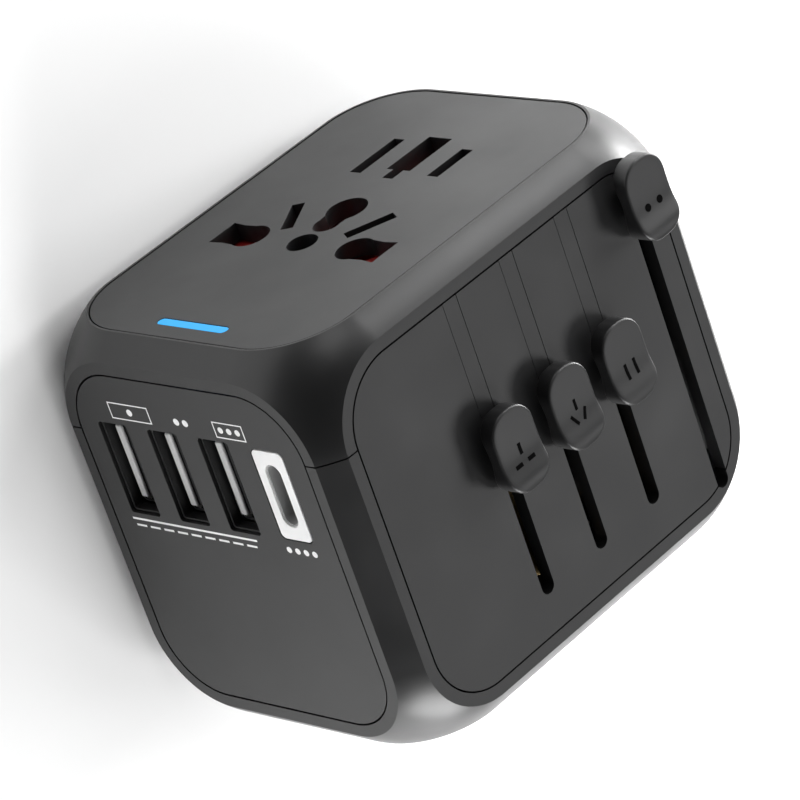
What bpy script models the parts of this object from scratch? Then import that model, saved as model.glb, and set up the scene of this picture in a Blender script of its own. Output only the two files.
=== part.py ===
"""Universal travel adapter with four plug sliders, a universal socket and four USB ports.

Lengths are millimetres until a mesh is finished, then metres. Places are measured from the middle of
the case: +X is the USB side, -Y the socket side, +Y the side where the pins come out, +Z the side of
the slider knobs. The finished adapter stands on the world's floor, under its own middle.
"""

import math

import bmesh
import bpy
from mathutils import Matrix, Vector

MM = 0.001

# Case: a rounded box whose six sides are cut flat.
HALF = Vector((34.0, 28.5, 25.0))
ROUNDING = 17.04
ROUNDED_REACH = 3.62
CORE = HALF + Vector((1, 1, 1)) * (ROUNDED_REACH - ROUNDING)
WALL = 2.0
ARC_STEPS = 8
GAP = 0.3
PARTING_Y = -15.1
PANEL_INSET = 1.79
PLATE_INSET = 0.75
PLATE_RECESS = 0.3
EVERY_SIDE = 60.0

# Sliders: where each knob rests, and how far it travels towards +Y.
UK_X = 8.5
AUS_X = -2.15
US_X = -12.75
EU_X = -24.9
UK_KNOB_Y = -3.0
AUS_KNOB_Y = -2.6
US_KNOB_Y = -2.7
EU_KNOB_Y = -19.4
SLOT_WIDTH = 2.2
SLOT_TIP_Y = 18.68
EU_SLOT_TIP_Y = 23.84
KNOB_HALF = (3.7, 5.55)
KNOB_CORNER = 2.4
KNOB_FOOT = 1.2
KNOB_SADDLE = 3.5
KNOB_LIP = 4.3
NECK_HALF = (0.8, 1.7)
NECK_FOOT_Z = 22.9

# Carriages, as spans along Y at rest.
UK_BAR_Y = (-18.8, -15.8)
FRONT_BAR_Y = (3.9, 6.9)
ARM_HALF = 1.1
ARM_Z = (15.0, 22.6)
POST_TOP_Z = 21.8
PIN_TIP_Y = 27.5
UK_PIN_Z = 11.1
UK_EARTH_X = UK_X - 22.2
AUS_BLADE_Z = 6.85
US_BLADE_Z = 6.35
SLANT = math.radians(30)
EU_PIN_Z = 9.5
EU_TIP_Y = 27.0
EU_FACE_Y = 8.0
EU_TOWER_HALF = (3.4, 13.8)

# Socket plate and what lies behind it.
PLATE_THICK = 2.2
PLATE_Y = (-HALF.y + PLATE_RECESS, -HALF.y + PLATE_RECESS + PLATE_THICK)
SHUTTER_Y = (-25.7, -24.7)
SHUTTER_SHIFT = 4.7
CONTACT_Y = (-24.4, -19.2)
LED_X = 27.35
LED_HALF = (0.68, 6.15)

# USB side.
USB_A_Y = -9.9
USB_A_Z = (-13.9, -4.7, 4.5)
USB_A_HALF = (6.7, 2.7)
USB_C_Y = -9.9
USB_C_Z = 13.85
USB_C_HALF = (6.5, 2.85)
USB_C_CORNER = 0.9
TONGUE_Z = (-1.85, -0.25)
TONGUE_TIP_X = 32.4
BOARD_X = (17.5, 19.1)

SCREW_SPOTS = ((26.5, -19.2), (26.5, 19.2), (-28.6, -17.6), (-28.6, 17.6))
BOSS_RADIUS = 1.9
SCREW_RADIUS = 1.0
SCREW_HEAD_RADIUS = 1.6
SCREW_HEAD_Y = (-24.0, -22.8)
SCREW_END_Y = -9.0

for old in list(bpy.data.objects):
    bpy.data.objects.remove(old)


def material(name, colour, roughness, metallic=0.0, glow=0.0):
    made = bpy.data.materials.new(name)
    made.use_nodes = True
    surface = made.node_tree.nodes["Principled BSDF"]
    surface.inputs["Base Color"].default_value = (*colour, 1.0)
    surface.inputs["Roughness"].default_value = roughness
    surface.inputs["Metallic"].default_value = metallic
    surface.inputs["Emission Color"].default_value = (*colour, 1.0)
    surface.inputs["Emission Strength"].default_value = glow
    return made


CHARCOAL = material("charcoal plastic", (0.045, 0.045, 0.047), 0.5)
BLACK = material("black plastic", (0.015, 0.015, 0.016), 0.45)
WHITE = material("white plastic", (0.85, 0.85, 0.85), 0.4)
RED = material("red plastic", (0.5, 0.02, 0.02), 0.4)
BLUE = material("lit blue light pipe", (0.0, 0.45, 1.0), 0.3, glow=2.0)
STEEL = material("nickel plated steel", (0.55, 0.55, 0.56), 0.3, metallic=1.0)
BRASS = material("brass", (0.75, 0.55, 0.25), 0.3, metallic=1.0)
BOARD = material("green circuit board", (0.02, 0.16, 0.06), 0.5)
TAPE = material("yellow transformer tape", (0.75, 0.55, 0.08), 0.5)
CERAMIC = material("pale ceramic", (0.75, 0.72, 0.65), 0.5)


# Outlines. Each is a list of points on the plane that is crossed by the axis of its prism.

def arc(centre, radius, start, end, steps):
    turns = [start + (end - start) * step / steps for step in range(steps + 1)]
    return [(centre[0] + radius * math.cos(turn), centre[1] + radius * math.sin(turn)) for turn in turns]


def circle(centre, radius, steps=20):
    return arc(centre, radius, 0, math.tau, steps)[:-1]


def rounded(centre, half, radius, steps=4):
    """A rectangle with round corners."""
    outline = []
    for quarter, (side_u, side_v) in enumerate(((1, 1), (-1, 1), (-1, -1), (1, -1))):
        corner = (centre[0] + side_u * (half[0] - radius), centre[1] + side_v * (half[1] - radius))
        start = quarter * math.pi / 2
        outline += arc(corner, radius, start, start + math.pi / 2, steps)
    return outline


def rectangle(low_u, high_u, low_v, high_v):
    return [(low_u, low_v), (high_u, low_v), (high_u, high_v), (low_u, high_v)]


def turned(outline, centre, angle):
    """The outline turned about a point."""
    cosine = math.cos(angle)
    sine = math.sin(angle)
    moved = [(u - centre[0], v - centre[1]) for u, v in outline]
    return [(centre[0] + u * cosine - v * sine, centre[1] + u * sine + v * cosine) for u, v in moved]


def face_outline(axis, inset, steps=ARC_STEPS):
    """A flat side's outline, drawn in by an inset, around the middle of that side."""
    half = [HALF[index] for index in range(3) if index != "XYZ".index(axis)]
    cut = ROUNDING - ROUNDED_REACH
    corner = math.sqrt(ROUNDING**2 - cut**2)
    edge = cut - corner
    return rounded((0, 0), (half[0] - edge - inset, half[1] - edge - inset), corner - inset, steps)


# Solids, as bmesh data in millimetres around the middle of the case.

def prism(axis, outline, low, high, solid=None):
    """Adds an outline drawn out along X, Y or Z. The outline's points keep the order X, Y, Z."""
    solid = solid or bmesh.new()
    index = "XYZ".index(axis)
    ends = []
    for level in (low, high):
        places = []
        for point in outline:
            place = list(point)
            place.insert(index, level)
            places.append(solid.verts.new(place))
        ends.append(places)
    bottom, top = ends
    solid.faces.new(bottom)
    solid.faces.new(top)
    for step in range(len(outline)):
        after = (step + 1) % len(outline)
        solid.faces.new((bottom[step], bottom[after], top[after], top[step]))
    bmesh.ops.recalc_face_normals(solid, faces=solid.faces)
    return solid


def box(low, high, solid=None):
    return prism("Z", rectangle(low[0], high[0], low[1], high[1]), low[2], high[2], solid)


def hull(points):
    """The closed solid that is stretched over the points, with its flat sides in one face each."""
    solid = bmesh.new()
    for point in points:
        solid.verts.new(point)
    bmesh.ops.convex_hull(solid, input=solid.verts)
    bmesh.ops.dissolve_limit(solid, angle_limit=math.radians(0.2), verts=solid.verts, edges=solid.edges)
    bmesh.ops.recalc_face_normals(solid, faces=solid.faces)
    return solid


def case_points(inset):
    """Points on the case, drawn in by an inset: its flat sides' outlines, its edges and its corners."""
    radius = ROUNDING - inset
    cut = ROUNDING - ROUNDED_REACH - inset
    ring = math.sqrt(radius**2 - cut**2)
    directions = []
    for axis in range(3):
        for turn in range(ARC_STEPS + 1):
            angle = math.pi / 2 * turn / ARC_STEPS
            place = [ring * math.cos(angle), ring * math.sin(angle)]
            place.insert(axis, cut)
            directions.append(Vector(place))
        edge = Vector((1, 1, 1))
        edge[axis] = 0
        directions.append(edge.normalized() * radius)
        nearly = Vector((1, 1, 1))
        nearly[axis] = 1.5
        directions.append(nearly.normalized() * radius)
        nearly[axis] = 0.5
        directions.append(nearly.normalized() * radius)
    directions.append(Vector((1, 1, 1)).normalized() * radius)
    points = []
    for direction in directions:
        place = CORE + direction
        for side_x in (1, -1):
            for side_y in (1, -1):
                for side_z in (1, -1):
                    points.append(Vector((place.x * side_x, place.y * side_y, place.z * side_z)))
    return points


def case_slice(inset, low_y, high_y):
    """The part of the case between two levels along Y."""
    solid = hull(case_points(inset))
    for level, outward in ((low_y, -1), (high_y, 1)):
        everything = list(solid.verts) + list(solid.edges) + list(solid.faces)
        bmesh.ops.bisect_plane(
            solid, geom=everything, plane_co=(0, level, 0), plane_no=(0, outward, 0), clear_outer=True
        )
    points = [vertex.co.copy() for vertex in solid.verts]
    solid.free()
    return hull(points)


# Objects.

def carrier_empty(name, place):
    """An empty on a slider's line of travel, which that slider's pieces hang from."""
    empty = bpy.data.objects.new(name, None)
    bpy.context.scene.collection.objects.link(empty)
    empty.location = (Vector(place) + Vector((0, 0, HALF.z))) * MM
    return empty


def add(name, solid, coat, parent=None, smooth=False):
    """Makes an object of a solid, hung from a parent if there is one."""
    start = Vector((0, 0, HALF.z)) * MM
    if parent:
        start = start - parent.location
    solid.transform(Matrix.Translation(start) @ Matrix.Scale(MM, 4))
    mesh = bpy.data.meshes.new(name)
    solid.to_mesh(mesh)
    solid.free()
    if coat:
        mesh.materials.append(coat)
    if smooth:
        mesh.shade_smooth()
        mesh.set_sharp_from_angle(angle=math.radians(30))
    piece = bpy.data.objects.new(name, mesh)
    bpy.context.scene.collection.objects.link(piece)
    piece.parent = parent
    return piece


def boolean(piece, operation, solid, name):
    """Joins, cuts or intersects a piece with a guide solid, which stays hidden."""
    guide = add(f"{piece.name} {name}", solid, None, piece.parent)
    guide.hide_render = True
    guide.display_type = "WIRE"
    modifier = piece.modifiers.new(name, "BOOLEAN")
    modifier.operation = operation
    modifier.solver = "EXACT"
    modifier.object = guide
    return guide


# Holes of the socket plate.

def slit(centre, half_length, half_width, angle=0.0):
    outline = rectangle(
        centre[0] - half_length, centre[0] + half_length, centre[1] - half_width, centre[1] + half_width
    )
    return turned(outline, centre, angle)


def live_hole(side):
    """A round hole that runs on into an oblong one, for both round and rectangular pins."""
    round_part = arc((7.05, 9.4), 2.6, math.radians(26), math.radians(-206), 14)
    outline = [(9.39, 14.7), *round_part, (4.71, 14.7)]
    return [(x, side * z) for x, z in outline]


def earth_hole():
    return [(-19.7, -2.0), (-11.35, -2.0), (-11.35, -0.85), (-9.2, -0.85),
            (-9.2, 0.95), (-11.35, 0.95), (-11.35, 2.1), (-19.7, 2.1)]


def middle_hole():
    """The long hole in the middle, which tapers into a round end."""
    wide = arc((0.3, 0.1), 2.55, math.radians(70), math.radians(60), 1)
    back = arc((-0.2, 0.1), 2.55, math.radians(90), math.radians(270), 8)
    front = arc((2.4, 0.1), 1.9, math.radians(-60), math.radians(60), 6)
    return [wide[0], *back, (wide[0][0], 0.2 - wide[0][1]), *front]


def socket_holes():
    return [
        live_hole(1), live_hole(-1), earth_hole(), middle_hole(), circle((7.1, 0.1), 2.1, 16),
        rectangle(-18.5, -9.75, -7.25, -5.35), rectangle(-17.6, -10.7, 5.75, 7.65),
        slit((1.65, 7.1), 3.35, 0.88, -SLANT), slit((1.65, -6.9), 3.35, 0.88, SLANT),
    ]


# Case.

def bosses(low_y, high_y):
    """Screw bosses, each standing on a rib from the nearest long edge of the case."""
    solid = bmesh.new()
    for x, z in SCREW_SPOTS:
        lean = math.atan2(math.copysign(1, z) * 0.8, math.copysign(1, x))
        opening = math.asin(0.7 / BOSS_RADIUS)
        ring = arc((x, z), BOSS_RADIUS, lean + opening, lean + math.tau - opening, 14)
        far = [(x + 9 * math.cos(lean) + side * 0.7 * math.sin(lean),
                z + 9 * math.sin(lean) - side * 0.7 * math.cos(lean)) for side in (1, -1)]
        prism("Y", [*ring, *far], low_y, high_y, solid)
    return solid


def bores(low_y, high_y):
    solid = bmesh.new()
    for spot in SCREW_SPOTS:
        prism("Y", circle(spot, SCREW_RADIUS + GAP, 12), low_y, high_y, solid)
    return solid


def panel_windows():
    """The openings of the case that the USB panel and the slider panel close."""
    solid = prism("X", face_outline("X", PANEL_INSET - GAP / 2), HALF.x - WALL - GAP, HALF.x + 5)
    return prism("Z", face_outline("Z", PANEL_INSET - GAP / 2), HALF.z - WALL - GAP, HALF.z + 5, solid)


def housing(name, low_y, high_y, cavity_y, boss_y, bore_y):
    piece = add(name, case_slice(0, low_y, high_y), CHARCOAL)
    cavity = boolean(piece, "DIFFERENCE", case_slice(WALL, *cavity_y), "cavity")
    posts = boolean(cavity, "DIFFERENCE", bosses(*boss_y), "bosses")
    posts.name = f"{name} bosses"
    boolean(piece, "DIFFERENCE", panel_windows(), "panel windows")
    boolean(piece, "DIFFERENCE", bores(*bore_y), "screw bores")
    return piece


def pin_openings():
    """Clearance holes for every pin in the plug side of the case."""
    low = HALF.y - 2 * WALL
    high = HALF.y + WALL
    solid = bmesh.new()
    for side in (1, -1):
        prism("Y", rounded((UK_X, side * UK_PIN_Z), (2.4, 3.55), 0.4, 2), low, high, solid)
        prism("Y", slit((AUS_X, side * AUS_BLADE_Z), 3.6, 1.15, -side * SLANT), low, high, solid)
        prism("Y", slit((US_X, side * US_BLADE_Z), 3.6, 1.15), low, high, solid)
    prism("Y", rounded((UK_EARTH_X, 0), (4.4, 2.4), 0.4, 2), low, high, solid)
    prism("Y", tower_outline(0.4), low, high, solid)
    return solid


def tower_outline(extra):
    """The long hexagon of a europlug body."""
    half_x = EU_TOWER_HALF[0] + extra
    half_z = EU_TOWER_HALF[1] + extra
    shoulder = half_z - half_x * 0.8
    tip = half_x * 0.45
    corners = [(half_x, -shoulder), (half_x, shoulder), (tip, half_z), (-tip, half_z),
               (-half_x, shoulder), (-half_x, -shoulder), (-tip, -half_z), (tip, -half_z)]
    return [(EU_X + x, z) for x, z in corners]


def slot(x, low_y, tip_y):
    """A slider's slot, square at its start and round at its tip."""
    half = SLOT_WIDTH / 2
    return [(x - half, low_y), (x + half, low_y), *arc((x, tip_y - half), half, 0, math.pi, 6)]


def make_case():
    socket_housing = housing(
        "socket_housing", -EVERY_SIDE, PARTING_Y - GAP / 2, (-EVERY_SIDE, 0),
        (SCREW_HEAD_Y[1] + GAP, PARTING_Y + 5), (SCREW_HEAD_Y[1], 0),
    )
    rim = prism("Y", face_outline("Y", PLATE_INSET - GAP), -EVERY_SIDE, PLATE_Y[1] + GAP)
    boolean(socket_housing, "DIFFERENCE", rim, "plate seat")

    plug_housing = housing(
        "plug_housing", PARTING_Y + GAP / 2, EVERY_SIDE, (-EVERY_SIDE, EVERY_SIDE),
        (PARTING_Y - 5, -6.0), (PARTING_Y - 5, -7.5),
    )
    boolean(plug_housing, "DIFFERENCE", pin_openings(), "pin openings")
    rim_notch = prism("Z", slot(EU_X, 15.0, EU_SLOT_TIP_Y), HALF.z - 5.7, HALF.z + 5.2)
    boolean(plug_housing, "DIFFERENCE", rim_notch, "slot end")

    plate = add("socket_plate", prism("Y", face_outline("Y", PLATE_INSET), *PLATE_Y), CHARCOAL)
    holes = bmesh.new()
    for outline in [*socket_holes(), rounded((LED_X, 0.15), (0.98, 6.45), 0.9, 3)]:
        prism("Y", outline, PLATE_Y[0] - 1, PLATE_Y[1] + 1, holes)
    boolean(plate, "DIFFERENCE", holes, "holes")

    usb_panel = add(
        "usb_panel", prism("X", face_outline("X", PANEL_INSET + GAP / 2), HALF.x - WALL, HALF.x), CHARCOAL
    )
    ports = bmesh.new()
    for z in USB_A_Z:
        prism("X", rounded((USB_A_Y, z), USB_A_HALF, 0.5, 2), HALF.x - 3, HALF.x + 1, ports)
    prism("X", rounded((USB_C_Y, USB_C_Z), USB_C_HALF, USB_C_CORNER, 4), HALF.x - 3, HALF.x + 1, ports)
    boolean(usb_panel, "DIFFERENCE", ports, "ports")

    slider_panel = add(
        "slider_panel", prism("Z", face_outline("Z", PANEL_INSET + GAP / 2), HALF.z - WALL, HALF.z), CHARCOAL
    )
    slots = bmesh.new()
    for x, knob_y in ((UK_X, UK_KNOB_Y), (AUS_X, AUS_KNOB_Y), (US_X, US_KNOB_Y)):
        prism("Z", slot(x, knob_y - 2.2, SLOT_TIP_Y), HALF.z - 3, HALF.z + 1, slots)
        prism("Z", rectangle(x - 1.3, x + 1.3, -23.3, -8.5), HALF.z - 1.2, HALF.z + 1, slots)
    prism("Z", slot(EU_X, -21.6, EU_SLOT_TIP_Y), HALF.z - 3, HALF.z + 1, slots)
    boolean(slider_panel, "DIFFERENCE", slots, "slots")
    for name, x in (("uk", UK_X), ("aus", AUS_X), ("us", US_X)):
        strip = prism("Z", rectangle(x - 1.0, x + 1.0, -23.0, -8.8), HALF.z - 0.9, HALF.z)
        add(f"slot_strip_{name}", strip, CHARCOAL)


def make_screws():
    for number, spot in enumerate(SCREW_SPOTS, 1):
        screw = add(f"case_screw_{number}", prism("Y", circle(spot, SCREW_RADIUS, 12), SCREW_HEAD_Y[0] + 0.5, SCREW_END_Y), STEEL)
        head = prism("Y", circle(spot, SCREW_HEAD_RADIUS, 16), *SCREW_HEAD_Y)
        boolean(screw, "UNION", head, "head")
        drive = prism("Y", rounded(spot, (0.45, 0.45), 0.1, 1), SCREW_HEAD_Y[0] - 1, SCREW_HEAD_Y[0] + 0.8)
        boolean(screw, "DIFFERENCE", drive, "drive")


# Socket side.

def make_shutter():
    middle = carrier_empty("shutter travel", (0, SHUTTER_Y[0], 0))
    body = prism("Y", rounded((-2.2, 0), (18.4, 16.4), 2.0, 3), *SHUTTER_Y)
    shutter = add("shutter", body, RED, middle)
    outlines = [
        rectangle(4.55, 9.6, 6.8, 14.8), rectangle(4.55, 9.6, -14.8, -6.8), rectangle(-19.8, -9.1, -2.1, 2.2),
        rectangle(-2.9, 9.3, -2.3, 2.4), rectangle(-18.6, -9.65, -7.3, -5.3),
        rectangle(-17.7, -10.6, 5.7, 7.7), slit((1.4, 7.1), 2.9, 1.0, -SLANT), slit((1.4, -6.9), 2.9, 1.0, SLANT),
    ]
    windows = bmesh.new()
    for outline in outlines:
        shifted = [(x + SHUTTER_SHIFT, z) for x, z in outline]
        prism("Y", shifted, SHUTTER_Y[0] - 1, SHUTTER_Y[1] + 1, windows)
    boolean(shutter, "DIFFERENCE", windows, "windows")


def make_contacts():
    """Brass sleeves behind the holes, each with a tail strip at the back."""
    sleeves = (
        ("contact_live", (4.0, 10.2), (6.6, 15.4), (10.0, 16.8)),
        ("contact_neutral", (4.0, 10.2), (-15.4, -6.6), (10.0, 16.8)),
        ("contact_earth", (-20.4, -8.4), (-2.7, 2.8), (-8.6, -1.0)),
    )
    for name, span_x, span_z, tail_x in sleeves:
        sleeve = add(name, prism("Y", rectangle(*span_x, *span_z), *CONTACT_Y), BRASS)
        inside = rectangle(span_x[0] + 0.5, span_x[1] - 0.5, span_z[0] + 0.5, span_z[1] - 0.5)
        boolean(sleeve, "DIFFERENCE", prism("Y", inside, CONTACT_Y[0] - 1, CONTACT_Y[1] + 1), "inside")
        middle_z = (span_z[0] + span_z[1]) / 2
        tail = box((tail_x[0], CONTACT_Y[1] - 0.7, middle_z - 1.5), (tail_x[1], CONTACT_Y[1] - 0.1, middle_z + 1.5))
        boolean(sleeve, "UNION", tail, "tail")


def make_light():
    outline = rounded((LED_X, 0.15), LED_HALF, 0.62, 3)
    add("led_light_pipe", prism("Y", outline, PLATE_Y[0] + 0.1, -21.0), BLUE)


# USB side.

def make_ports():
    for number, z in enumerate(USB_A_Z, 1):
        half = (USB_A_HALF[0] - GAP, USB_A_HALF[1] - GAP)
        shell = add(f"usb_a_shell_{number}", prism("X", rounded((USB_A_Y, z), half, 0.5, 2), 20.0, 33.4), STEEL)
        inside = rounded((USB_A_Y, z), (half[0] - 0.35, half[1] - 0.35), 0.3, 2)
        boolean(shell, "DIFFERENCE", prism("X", inside, 20.6, 35.0), "inside")
        tongue = prism(
            "X", rectangle(USB_A_Y - 5.3, USB_A_Y + 5.3, z + TONGUE_Z[0], z + TONGUE_Z[1]), 20.9, TONGUE_TIP_X
        )
        add(f"usb_a_tongue_{number}", tongue, WHITE)

    half = (USB_C_HALF[0] - GAP, USB_C_HALF[1] - GAP)
    bezel = add("usb_c_bezel", prism("X", rounded((USB_C_Y, USB_C_Z), half, USB_C_CORNER - 0.2, 4), 24.0, HALF.x), WHITE)
    inside = prism("X", rounded((USB_C_Y, USB_C_Z), (4.45, 1.35), 1.3, 4), 24.8, HALF.x + 1)
    boolean(bezel, "DIFFERENCE", inside, "inside")
    tongue = prism("X", rectangle(USB_C_Y - 3.2, USB_C_Y + 3.2, USB_C_Z - 0.35, USB_C_Z + 0.35), 25.2, 31.5)
    add("usb_c_tongue", tongue, BLACK)


def make_electronics():
    add("circuit_board", prism("X", rounded((0, 0), (22.0, 19.0), 2.0, 3), *BOARD_X), BOARD)
    high_x = 29.5
    core = box((BOARD_X[1] + GAP, 6.5, -9.0), (high_x, 20.0, 6.0))
    add("transformer", core, TAPE)
    for number, z in enumerate((-13.9, 11.0), 1):
        can = prism("X", circle((12.0, z), 3.6, 20), BOARD_X[1] + GAP, high_x)
        add(f"capacitor_{number}", can, BLACK, smooth=True)
    add("fuse", prism("Z", circle((23.0, 1.8), 2.4, 16), -12.0, 8.0), CERAMIC, smooth=True)


# Sliders.

def make_knob(name, x, y, parent):
    """A thumb knob with a saddle top and a lip, on a narrow neck that passes the slot."""
    half_x, half_y = KNOB_HALF
    foot = HALF.z + KNOB_FOOT
    steps = 10
    top = []
    for step in range(steps + 1):
        offset = (half_y + 1) * (1 - 2 * step / steps)
        rise = (KNOB_LIP - KNOB_SADDLE) * (offset / half_y) ** 2
        top.append((y + offset, HALF.z + KNOB_SADDLE + rise))
    profile = [(y - half_y - 1, foot), (y + half_y + 1, foot), *top]
    knob = add(name, prism("Z", rounded((x, y), KNOB_HALF, KNOB_CORNER, 4), foot - 1, foot + 6), CHARCOAL, parent)
    boolean(knob, "INTERSECT", prism("X", profile, x - half_x - 1, x + half_x + 1), "saddle")
    half = NECK_HALF
    neck = box((x - half[0], y - half[1], NECK_FOOT_Z), (x + half[0], y + half[1], foot + 1))
    boolean(knob, "UNION", neck, "neck")


def make_uk():
    slider = carrier_empty("uk slider travel", (UK_X, UK_KNOB_Y, HALF.z))
    make_knob("uk_knob", UK_X, UK_KNOB_Y, slider)
    low, high = UK_BAR_Y
    block_end = 9.6
    bar = prism("Y", rectangle(UK_X - 2.5, UK_X + 2.5, -14.5, 14.5), low, high)
    carriage = add("uk_carriage", bar, BLACK, slider)
    boolean(carriage, "UNION", box((-17.4, low, -1.9), (UK_X, high, 1.9)), "spine")
    for number, side in enumerate((1, -1), 1):
        middle = side * UK_PIN_Z
        block = box((UK_X - 2.2, low + 0.5, middle - 3.2), (UK_X + 2.2, block_end, middle + 3.2))
        boolean(carriage, "UNION", block, f"block {number}")
    boolean(carriage, "UNION", box((-17.3, low + 0.5, -1.8), (-10.1, block_end, 1.8)), "earth block")
    arm = box((UK_X - ARM_HALF, UK_KNOB_Y - 1.8, 13.5), (UK_X + ARM_HALF, UK_KNOB_Y + 1.8, ARM_Z[1]))
    boolean(carriage, "UNION", arm, "arm")
    for name, side in (("uk_pin_live", 1), ("uk_pin_neutral", -1)):
        outline = rounded((UK_X, side * UK_PIN_Z), (2.0, 3.15), 0.4, 2)
        add(name, prism("Y", outline, block_end + GAP, PIN_TIP_Y), BRASS, slider)
    earth = rounded((UK_EARTH_X, 0), (4.0, 2.0), 0.4, 2)
    add("uk_pin_earth", prism("Y", earth, block_end + GAP, PIN_TIP_Y), BRASS, slider)


def make_aus():
    slider = carrier_empty("aus slider travel", (AUS_X, AUS_KNOB_Y, HALF.z))
    make_knob("aus_knob", AUS_X, AUS_KNOB_Y, slider)
    low, high = FRONT_BAR_Y
    carriage = add("aus_carriage", box((AUS_X - 3.4, low, -9.4), (AUS_X + 3.4, high, 9.4)), BLACK, slider)
    post = box((AUS_X - ARM_HALF, low + 0.3, 9.0), (AUS_X + ARM_HALF, high - 0.3, POST_TOP_Z))
    boolean(carriage, "UNION", post, "post")
    arm = box((AUS_X - ARM_HALF + 0.2, AUS_KNOB_Y - 1.8, ARM_Z[0]),
              (AUS_X + ARM_HALF - 0.2, low + 1.2, ARM_Z[1] - 0.2))
    boolean(carriage, "UNION", arm, "arm")
    for number, side in enumerate((1, -1), 1):
        outline = slit((AUS_X, side * AUS_BLADE_Z), 3.15, 0.8, -side * SLANT)
        add(f"aus_blade_{number}", prism("Y", outline, high + GAP, PIN_TIP_Y), BRASS, slider)


def make_us():
    slider = carrier_empty("us slider travel", (US_X, US_KNOB_Y, HALF.z))
    make_knob("us_knob", US_X, US_KNOB_Y, slider)
    low, high = FRONT_BAR_Y
    carriage = add("us_carriage", box((US_X - 5.9, low, -8.2), (-6.2, high, 8.2)), BLACK, slider)
    window = box((US_X - 7.0, low - 1, -2.6), (-9.2, high + 1, 2.6))
    boolean(carriage, "DIFFERENCE", window, "earth pin window")
    post = box((US_X - ARM_HALF, low + 0.3, 7.8), (US_X + ARM_HALF, high - 0.3, POST_TOP_Z))
    boolean(carriage, "UNION", post, "post")
    arm = box((US_X - ARM_HALF + 0.2, US_KNOB_Y - 1.8, ARM_Z[0]),
              (US_X + ARM_HALF - 0.2, low + 1.2, ARM_Z[1] - 0.2))
    boolean(carriage, "UNION", arm, "arm")
    for number, side in enumerate((1, -1), 1):
        outline = slit((US_X, side * US_BLADE_Z), 3.18, 0.75)
        add(f"us_blade_{number}", prism("Y", outline, high + GAP, PIN_TIP_Y), BRASS, slider)


def make_eu():
    slider = carrier_empty("eu slider travel", (EU_X, EU_KNOB_Y, HALF.z))
    make_knob("eu_knob", EU_X, EU_KNOB_Y, slider)
    back = EU_KNOB_Y - 1.8
    tower = add("eu_tower", prism("Y", tower_outline(0), -12.0, EU_FACE_Y), CHARCOAL, slider)
    boolean(tower, "UNION", box((EU_X - 2.0, back, -8.0), (EU_X + 2.0, -11.0, 8.0)), "spine")
    arm = box((EU_X - ARM_HALF, back + 0.1, 7.0), (EU_X + ARM_HALF, EU_KNOB_Y + 1.8, ARM_Z[1]))
    boolean(tower, "UNION", arm, "arm")
    for number, side in enumerate((1, -1), 1):
        outline = circle((EU_X, side * EU_PIN_Z), 2.4, 20)
        add(f"eu_pin_{number}", prism("Y", outline, EU_FACE_Y + GAP, EU_TIP_Y), STEEL, slider, smooth=True)


make_case()
make_screws()
make_shutter()
make_contacts()
make_light()
make_ports()
make_electronics()
make_uk()
make_aus()
make_us()
make_eu()
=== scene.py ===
"""The looks of a universal travel adapter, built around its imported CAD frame.

Lengths are millimetres from the middle of the case until a mesh is finished, as in the CAD model:
+X is the USB side, -Y the socket side, +Y the side where the pins come out, +Z the slider side.
"""

import math

import bmesh
import bpy
from mathutils import Matrix, Quaternion, Vector


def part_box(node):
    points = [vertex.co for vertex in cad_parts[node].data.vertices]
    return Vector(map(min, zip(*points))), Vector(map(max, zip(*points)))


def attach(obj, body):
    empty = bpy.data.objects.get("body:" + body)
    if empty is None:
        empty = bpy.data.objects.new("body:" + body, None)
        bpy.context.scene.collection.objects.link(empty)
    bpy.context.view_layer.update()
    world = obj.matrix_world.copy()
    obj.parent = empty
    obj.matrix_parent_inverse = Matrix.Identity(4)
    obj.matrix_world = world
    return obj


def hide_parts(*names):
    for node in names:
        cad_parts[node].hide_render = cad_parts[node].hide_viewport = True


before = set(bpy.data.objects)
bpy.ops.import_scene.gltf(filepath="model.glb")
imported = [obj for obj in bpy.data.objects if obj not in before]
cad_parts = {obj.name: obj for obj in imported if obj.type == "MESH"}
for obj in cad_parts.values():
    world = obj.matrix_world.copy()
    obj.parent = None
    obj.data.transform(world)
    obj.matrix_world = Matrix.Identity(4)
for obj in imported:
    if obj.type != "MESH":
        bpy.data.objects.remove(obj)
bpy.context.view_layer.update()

MM = 0.001
MIDDLE = Vector((0.0, 0.0, 25.0))


def node_box(node):
    """A CAD node's lowest and highest corners, in millimetres from the middle of the case."""
    low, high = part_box(node)
    return low / MM - MIDDLE, high / MM - MIDDLE


def node_middle(node):
    low, high = node_box(node)
    return (low + high) / 2


# Case, as in the CAD model.
PLUG_HOUSING_HIGH = node_box("plug_housing")[1]
HALF = Vector((PLUG_HOUSING_HIGH.x, PLUG_HOUSING_HIGH.y, 25.0))
ROUNDING = 17.04
ROUNDED_REACH = 3.62
CORE = HALF + Vector((1, 1, 1)) * (ROUNDED_REACH - ROUNDING)
WALL = 2.0
ARC_STEPS = 28
EVERY_SIDE = 60.0
PARTING_Y = -15.1
PARTING_GAP = 0.2
PANEL_INSET = 1.79
PANEL_GAP = 0.24
PLATE_INSET = 0.55
PLATE_GAP = 0.2
FINE_BEVEL = 0.08
PLATE_FACE_Y = 0.06 - HALF.y
PLATE_HIGH = node_box("socket_plate")[1]

# Slider side.
SLIDERS = ("uk", "aus", "us", "eu")
SLOT_WIDTH = 2.2
SLOT_TIP_Y = 18.68
EU_SLOT_TIP_Y = 23.84
SLOT_START_BACK = 2.2
STRIP_WIDTH = 2.6
STRIP_LINE = 0.07
KNOB_CORNER = 3.2
KNOB_EDGE = 0.32
KNOB_FOOT = 1.35

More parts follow.
